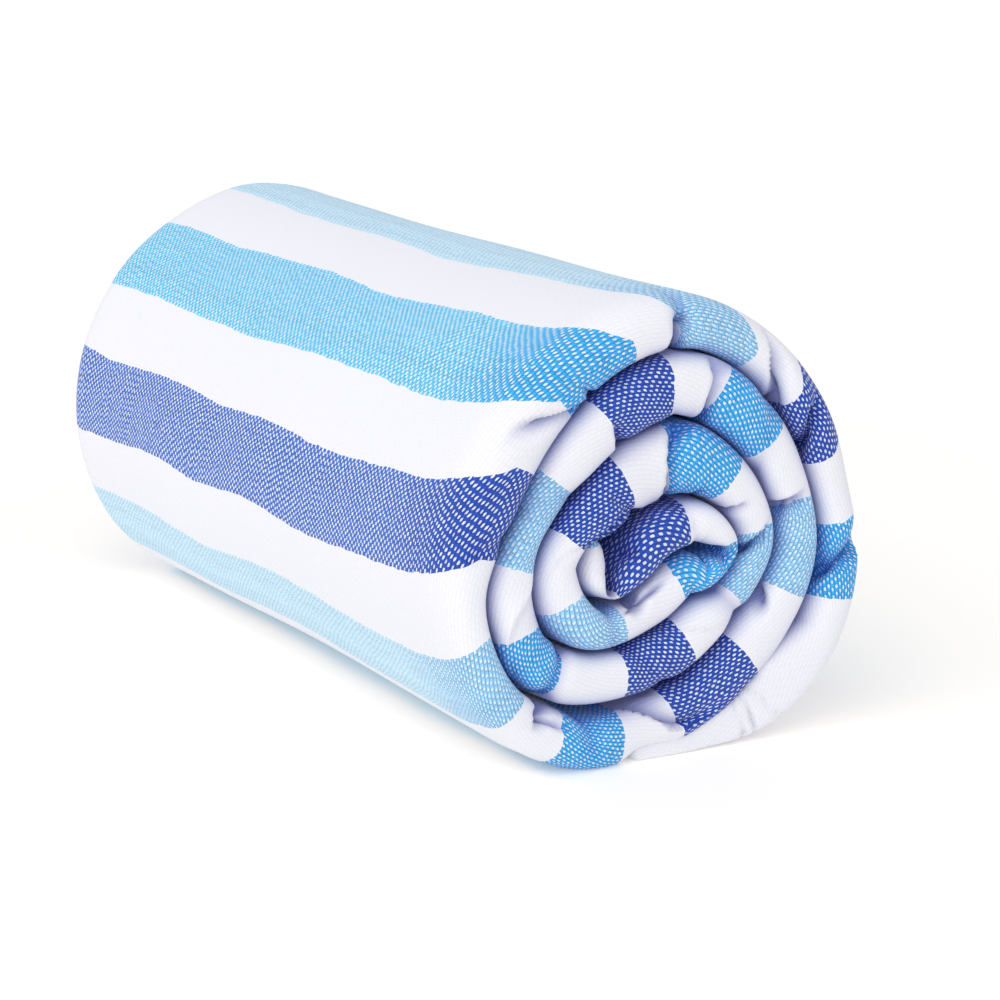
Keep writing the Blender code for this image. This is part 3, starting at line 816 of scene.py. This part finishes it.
# %% [markdown]
# ## The floor
# The floor is white paper, as in a light tent. It gives off a little light of its own, so that it
# stays as pale as paper that is lit from all round.

# %% The floor
FLOOR_SIZE = 30  # metres
PAPER, GLOW = "#F6F3EE", 0.2  # its colour, and the strength of its own light

bpy.ops.object.select_all(action="DESELECT")
bpy.ops.mesh.primitive_plane_add(size=FLOOR_SIZE, location=(0, 0, 0))
floor = bpy.context.object
floor.name = "floor"
paper = bpy.data.materials.new("white_paper")
paper.use_nodes = True
paper_surface = paper.node_tree.nodes["Principled BSDF"]
paper_surface.inputs["Base Color"].default_value = linear(PAPER)
paper_surface.inputs["Roughness"].default_value = 1.0
paper_surface.inputs["Specular IOR Level"].default_value = 0.0
paper_surface.inputs["Emission Color"].default_value = (1, 1, 1, 1)
paper_surface.inputs["Emission Strength"].default_value = GLOW
floor.data.materials.append(paper)
floor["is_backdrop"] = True
print("floor %.0f metres wide" % floor.dimensions.x)

# %% [markdown]
# ## The light
# The light is almost even and pale from all sides. One very soft sun from the upper left lights
# the long side of the roll a little more than its folded end.

# %% The light
SKY, SKY_STRENGTH = (0.94, 0.96, 1.03, 1), 0.63  # a little blue
SUN_FROM = Vector((-0.58, -0.42, 0.70))
SUN_STRENGTH, SUN_SPREAD = 1.5, 60  # the spread in degrees, wide for soft shadows
SUN_COLOUR = (1.0, 0.96, 0.87)  # a little warm

world = bpy.context.scene.world or bpy.data.worlds.new("world")
bpy.context.scene.world = world
world.use_nodes = True
world.node_tree.nodes["Background"].inputs[0].default_value = SKY
world.node_tree.nodes["Background"].inputs[1].default_value = SKY_STRENGTH
sun = bpy.data.objects.new("sun", bpy.data.lights.new("sun", "SUN"))
sun.data.energy = SUN_STRENGTH
sun.data.angle = math.radians(SUN_SPREAD)
sun.data.color = SUN_COLOUR
sun.rotation_euler = SUN_FROM.to_track_quat("Z", "Y").to_euler()
bpy.context.scene.collection.objects.link(sun)
bpy.context.scene.view_settings.view_transform = "Standard"
print("sun of", SUN_STRENGTH, "and sky of", SKY_STRENGTH)

# %% [markdown]
# ## Sizes and finish
# Last, the box of the solid roll and the box of the finished scene are gathered side by side, so
# that they can be compared, and the scene's box is printed.

# %% Sizes and finish
new_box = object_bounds()
boxes = {"cad": cad_box, "scene": new_box}
boxes = {name: [[float(number) for number in corner] for corner in box] for name, box in boxes.items()}
print("the scene's box", new_box)
